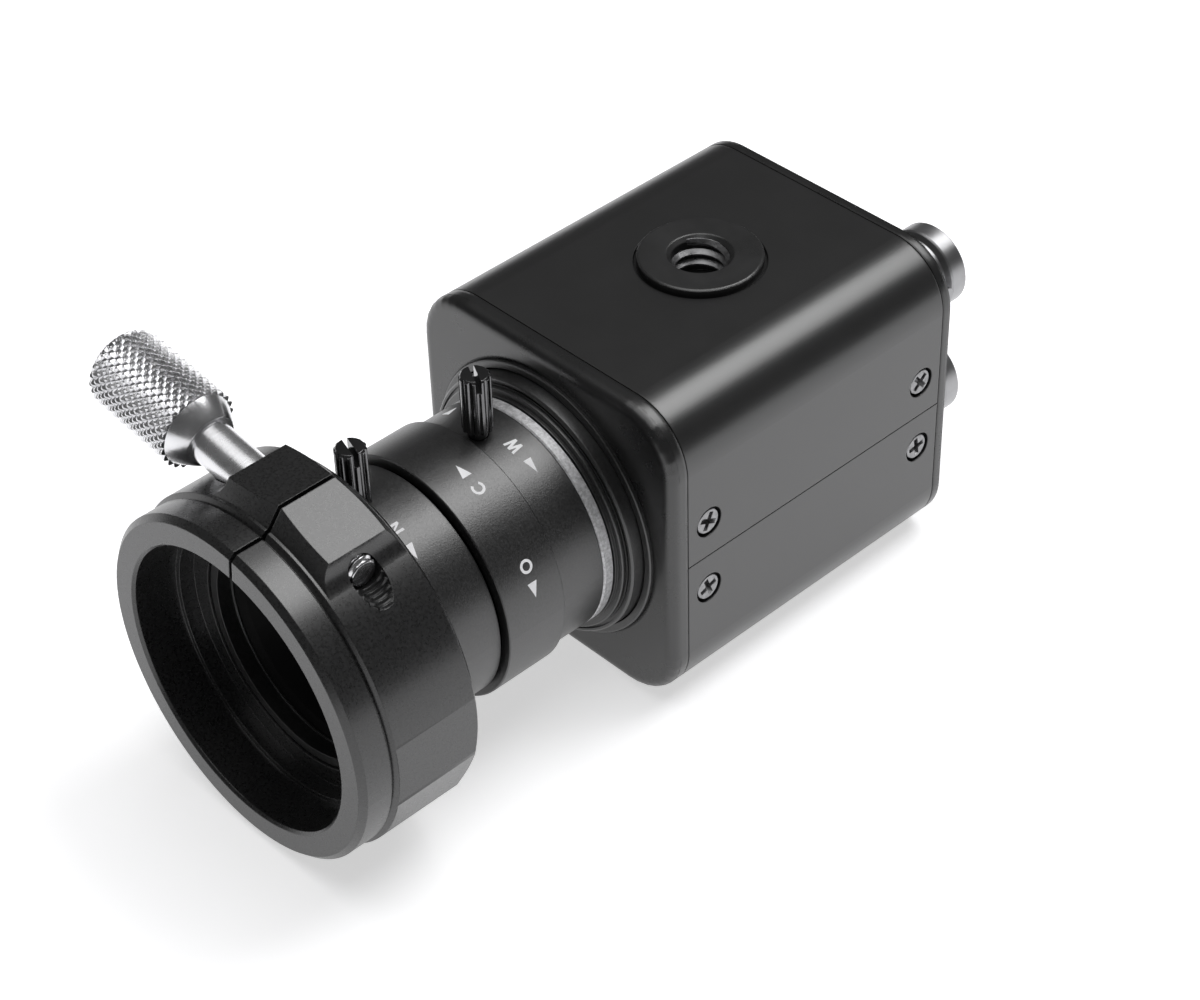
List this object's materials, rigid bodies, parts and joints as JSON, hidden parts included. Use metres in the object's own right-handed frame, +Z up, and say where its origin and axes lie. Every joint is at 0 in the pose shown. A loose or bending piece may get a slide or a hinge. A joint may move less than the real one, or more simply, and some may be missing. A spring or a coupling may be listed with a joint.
{
  "type": "guide camera",
  "caption": "Square box camera with a varifocal lens and a split clamp collar that grips a telescope eyepiece, with a tripod socket on top and round jacks behind.",
  "frame": {"origin": "on the lens axis, where the straight bore of the eyepiece collar starts, 0.3 mm behind the mouth's chamfer", "axes": "-Y is where the lens looks, +Y goes back to the jacks, +Z is up to the tripod socket, +X is the side with the collar screw's threaded end"},
  "size_m": [0.047, 0.0931, 0.046],
  "materials": {
    "body_black": "satin black anodised aluminium",
    "cover_black": "fine satin black paint on aluminium",
    "lens_black": "satin black, finely grained",
    "collar_black": "black anodised, turned and milled",
    "inner_black": "matt black anodised, anti-reflection",
    "screw_black": "gloss black oxide steel",
    "screw_steel": "zinc plated steel",
    "turned_steel": "bright turned and knurled",
    "lens_silver": "clear anodised, fine turned",
    "socket_metal": "black plated brass",
    "nickel": "nickel plate",
    "contact_gold": "gold plate",
    "post_brass": "drawn brass",
    "insulator_white": "white PTFE",
    "plastic_black": "moulded black",
    "board_green": "solder mask",
    "chip_black": "moulded epoxy",
    "sensor_die": "ceramic package",
    "filter_glass": "blue-green infrared filter",
    "lens_glass": "coated optical glass"
  },
  "bodies": {
    "camera_body": {"front_plate": "body_black", "upper_cover": "cover_black", "lower_cover": "cover_black", "back_plate": "body_black", "cover_screws": "screw_steel", "tripod_socket": "socket_metal", "mount_ring": "lens_black", "adapter_ring": "lens_black", "filter_holder": "plastic_black", "ir_filter": "filter_glass", "image_sensor": "sensor_die", "sensor_board": "board_green", "sensor_board_parts": "chip_black", "board_standoffs": "post_brass", "board_screws": "screw_steel", "board_link": "plastic_black", "power_board": "board_green", "power_board_parts": "chip_black", "video_jack_shell": "nickel", "video_jack_insulator": "insulator_white", "video_jack_pin": "contact_gold", "video_jack_nut": "nickel", "power_jack_shell": "nickel", "power_jack_insulator": "insulator_white", "power_jack_pin": "contact_gold", "power_jack_nut": "nickel", "lens_base": "lens_silver", "stop_ring": "lens_black", "lens_barrel": "inner_black", "rear_cell": "inner_black", "rear_lens": "lens_glass", "iris_plate": "inner_black", "iris_cover": "inner_black"},
    "zoom_ring": {"zoom_ring": "lens_black"},
    "zoom_lock_screw": {"zoom_lock_screw": "screw_black"},
    "zoom_group": {"zoom_cell": "inner_black", "zoom_front_lens": "lens_glass", "zoom_rear_lens": "lens_glass"},
    "iris_ring": {"iris_ring": "lens_black"},
    "focus_ring": {"focus_ring": "lens_black", "name_ring": "lens_black", "clamp_collar": "collar_black"},
    "focus_lock_screw": {"focus_lock_screw": "screw_black"},
    "focus_group": {"focus_cell": "inner_black", "focus_front_lens": "lens_glass", "focus_rear_lens": "lens_glass"},
    "clamp_screw": {"clamp_screw": "turned_steel"},
    "iris_blade_1": {"iris_blade_1": "inner_black"},
    "iris_blade_2": {"iris_blade_2": "inner_black"},
    "iris_blade_3": {"iris_blade_3": "inner_black"},
    "iris_blade_4": {"iris_blade_4": "inner_black"},
    "iris_blade_5": {"iris_blade_5": "inner_black"},
    "iris_blade_6": {"iris_blade_6": "inner_black"}
  },
  "joints": [
    {"name": "zoom_turn", "type": "hinge", "parent": "camera_body", "child": "zoom_ring", "pos_m": [0, 0.0345, 0], "axis": [0, 1, 0], "range_deg": [-30, 45]},
    {"name": "zoom_lock_turn", "type": "hinge", "parent": "zoom_ring", "child": "zoom_lock_screw", "pos_m": [0, 0.0332, 0], "axis": [0, 0, 1], "range_deg": [0, 540]},
    {"name": "zoom_group_slide", "type": "slide", "parent": "camera_body", "child": "zoom_group", "axis": [0, 1, 0], "range_m": [-0.00185, 0.00185]},
    {"name": "iris_turn", "type": "hinge", "parent": "camera_body", "child": "iris_ring", "pos_m": [0, 0.0275, 0], "axis": [0, 1, 0], "range_deg": [-50, 0]},
    {"name": "focus_turn", "type": "hinge", "parent": "camera_body", "child": "focus_ring", "pos_m": [0, 0.015, 0], "axis": [0, 1, 0], "range_deg": [-40, 60]},
    {"name": "focus_lock_turn", "type": "hinge", "parent": "focus_ring", "child": "focus_lock_screw", "pos_m": [0, 0.0169, 0], "axis": [0, 0, 1], "range_deg": [0, 540]},
    {"name": "focus_group_slide", "type": "slide", "parent": "camera_body", "child": "focus_group", "axis": [0, 1, 0], "range_m": [-0.00065, 0.00095]},
    {"name": "clamp_screw_turn", "type": "hinge", "parent": "focus_ring", "child": "clamp_screw", "pos_m": [0.00248, 0.009, 0.01763], "axis": [0.9903, 0, -0.1392], "range_deg": [0, 720]},
    {"name": "iris_blade_1_swing", "type": "hinge", "parent": "camera_body", "child": "iris_blade_1", "pos_m": [0.0086, 0.02655, 0], "axis": [0, 1, 0], "range_deg": [-30, 0]},
    {"name": "iris_blade_2_swing", "type": "hinge", "parent": "camera_body", "child": "iris_blade_2", "pos_m": [0.0043, 0.02655, 0.00745], "axis": [0, 1, 0], "range_deg": [-30, 0]},
    {"name": "iris_blade_3_swing", "type": "hinge", "parent": "camera_body", "child": "iris_blade_3", "pos_m": [-0.0043, 0.02655, 0.00745], "axis": [0, 1, 0], "range_deg": [-30, 0]},
    {"name": "iris_blade_4_swing", "type": "hinge", "parent": "camera_body", "child": "iris_blade_4", "pos_m": [-0.0086, 0.02655, 0], "axis": [0, 1, 0], "range_deg": [-30, 0]},
    {"name": "iris_blade_5_swing", "type": "hinge", "parent": "camera_body", "child": "iris_blade_5", "pos_m": [-0.0043, 0.02655, -0.00745], "axis": [0, 1, 0], "range_deg": [-30, 0]},
    {"name": "iris_blade_6_swing", "type": "hinge", "parent": "camera_body", "child": "iris_blade_6", "pos_m": [0.0043, 0.02655, -0.00745], "axis": [0, 1, 0], "range_deg": [-30, 0]}
  ],
  "couplings": [
    {"joint": "zoom_group_slide", "follows": "zoom_turn", "m_per_rad": 0.0023},
    {"joint": "focus_group_slide", "follows": "focus_turn", "m_per_rad": 0.0009},
    {"joint": "iris_blade_1_swing", "follows": "iris_turn", "ratio": 0.6},
    {"joint": "iris_blade_2_swing", "follows": "iris_turn", "ratio": 0.6},
    {"joint": "iris_blade_3_swing", "follows": "iris_turn", "ratio": 0.6},
    {"joint": "iris_blade_4_swing", "follows": "iris_turn", "ratio": 0.6},
    {"joint": "iris_blade_5_swing", "follows": "iris_turn", "ratio": 0.6},
    {"joint": "iris_blade_6_swing", "follows": "iris_turn", "ratio": 0.6}
  ]
}
